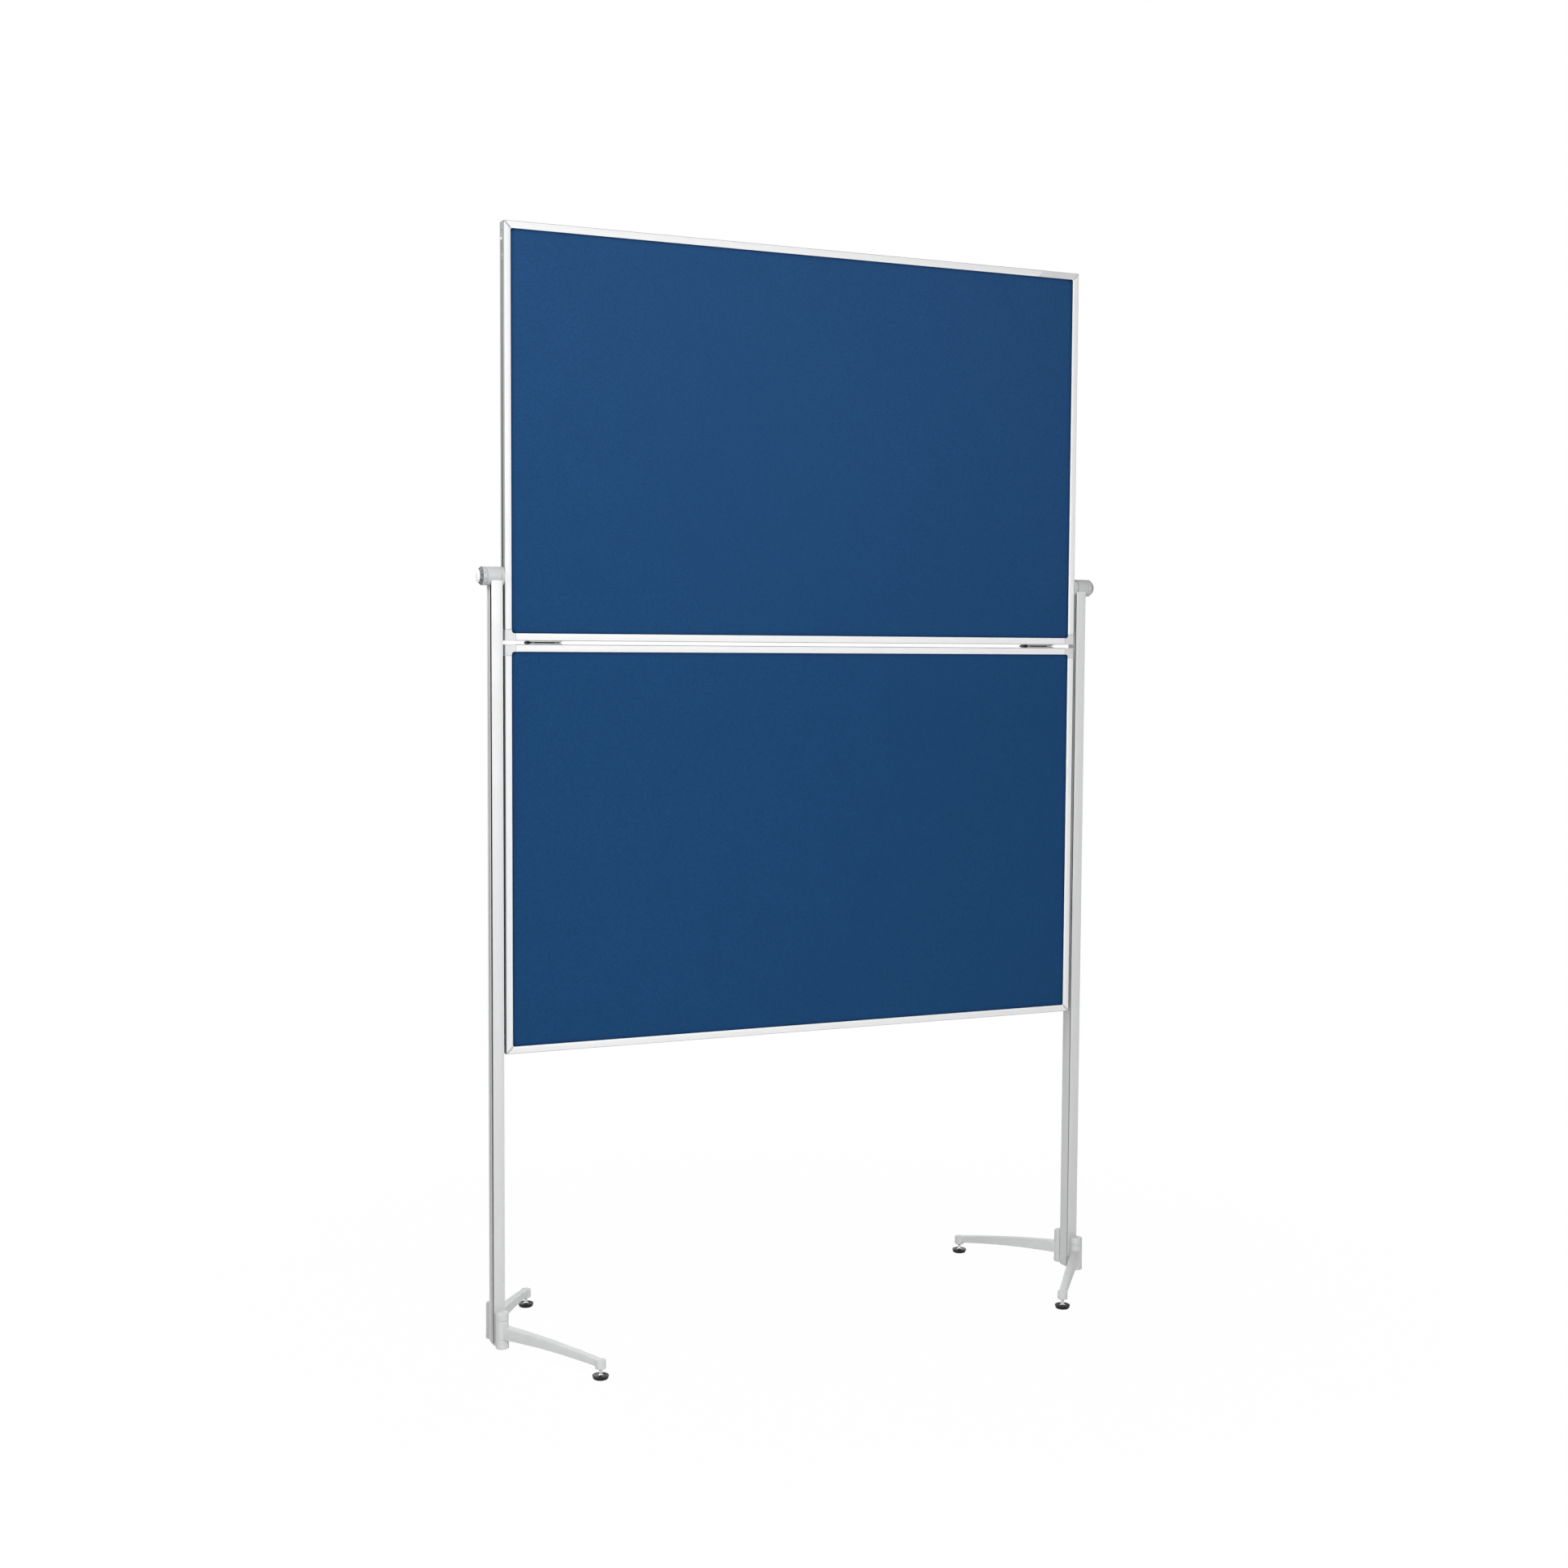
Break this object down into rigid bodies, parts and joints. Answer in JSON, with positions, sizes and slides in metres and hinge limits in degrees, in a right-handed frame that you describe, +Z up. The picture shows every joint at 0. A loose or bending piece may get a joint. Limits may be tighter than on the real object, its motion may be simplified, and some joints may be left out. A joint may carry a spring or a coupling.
{
  "type": "mobile pinboard",
  "caption": "Folding felt pinboard held between two slim posts, with round height clamps at the top and swivelling arms with levelling feet below.",
  "frame": {"origin": "on the floor, midway between the two posts, in the middle plane of the open board", "axes": "+X along the board to the viewer's right, +Y from the front to the back, +Z up"},
  "size_m": [1.2992, 0.4724, 2.05],
  "materials": {
    "frame": "satin",
    "moulding": "satin",
    "board": "matte",
    "felt": "matte",
    "post": "satin",
    "casting": "satin",
    "knob": "satin",
    "cap": "satin",
    "steel": "satin",
    "bright": "polished",
    "rubber": "matte"
  },
  "bodies": {
    "upper_panel": {"upper_top_rail": "frame", "upper_bottom_rail": "frame", "upper_left_stile": "frame", "upper_right_stile": "frame", "upper_left_moulded_corner": "moulding", "upper_right_moulded_corner": "moulding", "upper_board_core": "board", "upper_front_felt": "felt", "upper_back_felt": "felt", "upper_left_corner_plug": "cap", "upper_right_corner_plug": "cap", "left_hinge_upper_leaf": "steel", "right_hinge_upper_leaf": "steel"},
    "lower_panel": {"lower_top_rail": "frame", "lower_bottom_rail": "frame", "lower_left_stile": "frame", "lower_right_stile": "frame", "lower_left_moulded_corner": "moulding", "lower_right_moulded_corner": "moulding", "lower_board_core": "board", "lower_front_felt": "felt", "lower_back_felt": "felt", "lower_left_corner_plug": "cap", "lower_right_corner_plug": "cap", "left_hinge_lower_leaf": "steel", "right_hinge_lower_leaf": "steel", "left_hinge_pin": "steel", "right_hinge_pin": "steel"},
    "left_post": {"left_post": "post", "left_post_end_cap": "moulding", "left_clamp_housing": "casting", "left_clamp_bolt": "steel", "left_front_hub_bracket": "casting", "left_front_hub_pin": "steel", "left_rear_hub_bracket": "casting", "left_rear_hub_pin": "steel"},
    "right_post": {"right_post": "post", "right_post_end_cap": "moulding", "right_clamp_housing": "casting", "right_clamp_bolt": "steel", "right_front_hub_bracket": "casting", "right_front_hub_pin": "steel", "right_rear_hub_bracket": "casting", "right_rear_hub_pin": "steel"},
    "left_clamp": {"left_clamp_knob": "knob", "left_knob_cap": "cap"},
    "right_clamp": {"right_clamp_knob": "knob", "right_knob_cap": "cap"},
    "left_front_arm": {"left_front_arm": "casting"},
    "left_rear_arm": {"left_rear_arm": "casting"},
    "right_front_arm": {"right_front_arm": "casting"},
    "right_rear_arm": {"right_rear_arm": "casting"},
    "left_front_foot": {"left_front_stud": "bright", "left_front_pad": "rubber"},
    "left_rear_foot": {"left_rear_stud": "bright", "left_rear_pad": "rubber"},
    "right_front_foot": {"right_front_stud": "bright", "right_front_pad": "rubber"},
    "right_rear_foot": {"right_rear_stud": "bright", "right_rear_pad": "rubber"}
  },
  "joints": [
    {"name": "lower_panel_fold", "type": "hinge", "parent": "upper_panel", "child": "lower_panel", "pos_m": [0, 0.0165, 1.3], "axis": [1, 0, 0], "range_deg": [0, 180]},
    {"name": "left_post_height", "type": "slide", "parent": "upper_panel", "child": "left_post", "axis": [0, 0, 1], "range_m": [-0.08, 0.45]},
    {"name": "right_post_height", "type": "slide", "parent": "upper_panel", "child": "right_post", "axis": [0, 0, 1], "range_m": [-0.08, 0.45]},
    {"name": "left_clamp_turn", "type": "hinge", "parent": "left_post", "child": "left_clamp", "pos_m": [-0.615, 0, 1.419], "axis": [-1, 0, 0], "range_deg": [0, 540]},
    {"name": "right_clamp_turn", "type": "hinge", "parent": "right_post", "child": "right_clamp", "pos_m": [0.615, 0, 1.419], "axis": [1, 0, 0], "range_deg": [0, 540]},
    {"name": "left_front_swivel", "type": "hinge", "parent": "left_post", "child": "left_front_arm", "pos_m": [-0.615, -0.0315, 0.0305], "axis": [0, 0, 1], "range_deg": [-33, 57]},
    {"name": "left_rear_swivel", "type": "hinge", "parent": "left_post", "child": "left_rear_arm", "pos_m": [-0.615, 0.0315, 0.0305], "axis": [0, 0, -1], "range_deg": [-33, 57]},
    {"name": "right_front_swivel", "type": "hinge", "parent": "right_post", "child": "right_front_arm", "pos_m": [0.615, -0.0315, 0.0305], "axis": [0, 0, -1], "range_deg": [-39, 51]},
    {"name": "right_rear_swivel", "type": "hinge", "parent": "right_post", "child": "right_rear_arm", "pos_m": [0.615, 0.0315, 0.0305], "axis": [0, 0, 1], "range_deg": [-39, 51]},
    {"name": "left_front_foot_height", "type": "slide", "parent": "left_front_arm", "child": "left_front_foot", "axis": [0, 0, 1], "range_m": [-0.003, 0.007]},
    {"name": "left_rear_foot_height", "type": "slide", "parent": "left_rear_arm", "child": "left_rear_foot", "axis": [0, 0, 1], "range_m": [-0.003, 0.007]},
    {"name": "right_front_foot_height", "type": "slide", "parent": "right_front_arm", "child": "right_front_foot", "axis": [0, 0, 1], "range_m": [-0.003, 0.007]},
    {"name": "right_rear_foot_height", "type": "slide", "parent": "right_rear_arm", "child": "right_rear_foot", "axis": [0, 0, 1], "range_m": [-0.003, 0.007]}
  ],
  "couplings": [
    {"joint": "right_post_height", "follows": "left_post_height", "ratio": 1}
  ]
}
